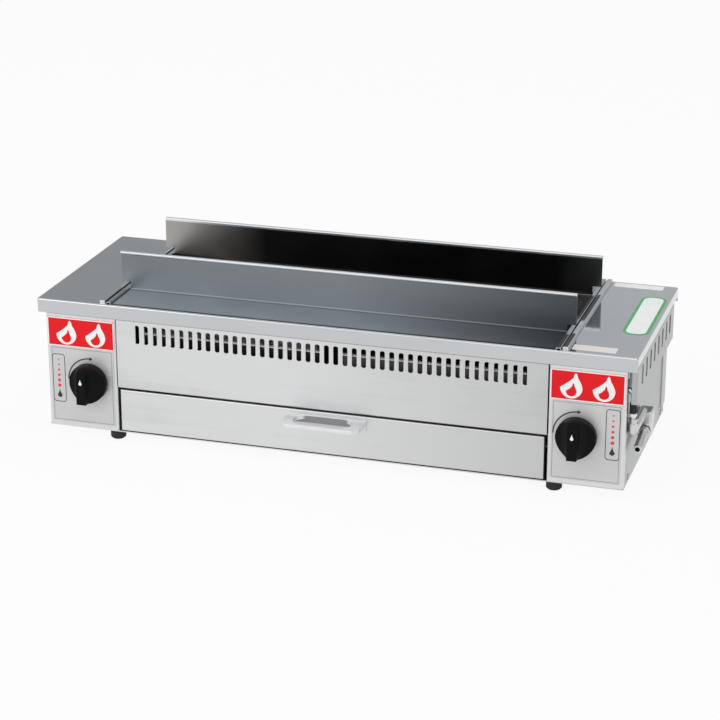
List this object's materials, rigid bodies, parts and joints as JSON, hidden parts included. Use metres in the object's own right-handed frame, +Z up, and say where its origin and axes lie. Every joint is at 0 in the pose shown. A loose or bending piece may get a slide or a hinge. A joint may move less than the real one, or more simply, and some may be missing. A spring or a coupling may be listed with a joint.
{
  "type": "gas skewer grill",
  "caption": "Long tabletop gas grill with raised walls that skewers lie across, vented steel cabinet, gas knobs at both ends and a pull-out drip tray.",
  "frame": {"origin": "centre of the footprint, on the surface the feet stand on", "axes": "+X to the right seen from the knobs, +Y from the knobs to the rear, +Z up"},
  "size_m": [0.6862, 0.2804, 0.2067],
  "materials": {
    "stainless": "brushed",
    "polished_stainless": "polished",
    "inner_steel": "plain",
    "aluminium": "satin",
    "brass": "machined",
    "plated_casting": "satin",
    "black_plastic": "semi gloss",
    "black_rubber": "matte",
    "red_paint": "satin",
    "dial_paint": "satin",
    "tile": "porous",
    "screw_steel": "plain",
    "ceramic": "glazed"
  },
  "bodies": {
    "cabinet": {"base_plate": "stainless", "burner_crossbars": "inner_steel", "burner_guards": "inner_steel", "case_front_wall": "inner_steel", "case_rear_wall": "inner_steel", "feet": "black_rubber", "front_vent_panel": "stainless", "hose_nozzle": "plated_casting", "inlet_block": "plated_casting", "left_badge_plate": "red_paint", "left_burner_body": "inner_steel", "left_burner_tiles": "tile", "left_control_panel": "stainless", "left_dial_plate": "dial_paint", "left_end_rail": "polished_stainless", "left_feed_pipe": "plated_casting", "left_front_shield": "inner_steel", "left_gas_valve": "brass", "left_igniter": "ceramic", "left_injector": "brass", "left_injector_holder": "brass", "left_mixing_tube": "plated_casting", "left_partition": "inner_steel", "left_side_cover": "stainless", "left_side_wall": "stainless", "manifold_pipe": "plated_casting", "rear_panel": "stainless", "right_badge_plate": "red_paint", "right_burner_body": "inner_steel", "right_burner_tiles": "tile", "right_control_panel": "stainless", "right_dial_plate": "dial_paint", "right_end_rail": "polished_stainless", "right_feed_pipe": "plated_casting", "right_front_shield": "inner_steel", "right_gas_valve": "brass", "right_igniter": "ceramic", "right_injector": "brass", "right_injector_holder": "brass", "right_mixing_tube": "plated_casting", "right_partition": "inner_steel", "right_side_cover": "stainless", "right_side_wall": "stainless", "riser_sleeve": "black_rubber", "seal_ring": "ceramic", "side_screws": "screw_steel", "supply_pipe": "plated_casting", "top_frame": "polished_stainless", "tray_runners": "inner_steel", "union_nut": "plated_casting"},
    "tray": {"tray_front": "stainless", "drip_pan": "inner_steel", "tray_handle": "aluminium", "handle_rivets": "screw_steel"},
    "front_rest": {"front_skewer_rest": "polished_stainless"},
    "rear_rest": {"rear_skewer_rest": "polished_stainless"},
    "left_spindle": {"left_valve_spindle": "plated_casting"},
    "right_spindle": {"right_valve_spindle": "plated_casting"},
    "left_knob": {"left_knob": "black_plastic"},
    "right_knob": {"right_knob": "black_plastic"}
  },
  "joints": [
    {"name": "tray_slide", "type": "slide", "parent": "cabinet", "child": "tray", "axis": [0, -1, 0], "range_m": [0, 0.19]},
    {"name": "front_rest_lift", "type": "slide", "parent": "cabinet", "child": "front_rest", "axis": [0, 0, 1], "range_m": [0, 0.1]},
    {"name": "rear_rest_lift", "type": "slide", "parent": "cabinet", "child": "rear_rest", "axis": [0, 0, 1], "range_m": [0, 0.1]},
    {"name": "left_knob_turn", "type": "hinge", "parent": "cabinet", "child": "left_spindle", "pos_m": [-0.2785, -0.1073, 0.0695], "axis": [0, -1, 0], "range_deg": [0, 90]},
    {"name": "left_knob_push", "type": "slide", "parent": "left_spindle", "child": "left_knob", "axis": [0, 1, 0], "range_m": [0, 0.003], "stiffness_N_per_m": 400, "springref_m": -0.002},
    {"name": "right_knob_turn", "type": "hinge", "parent": "cabinet", "child": "right_spindle", "pos_m": [0.2785, -0.1073, 0.0695], "axis": [0, -1, 0], "range_deg": [0, 90]},
    {"name": "right_knob_push", "type": "slide", "parent": "right_spindle", "child": "right_knob", "axis": [0, 1, 0], "range_m": [0, 0.003], "stiffness_N_per_m": 400, "springref_m": -0.002}
  ]
}
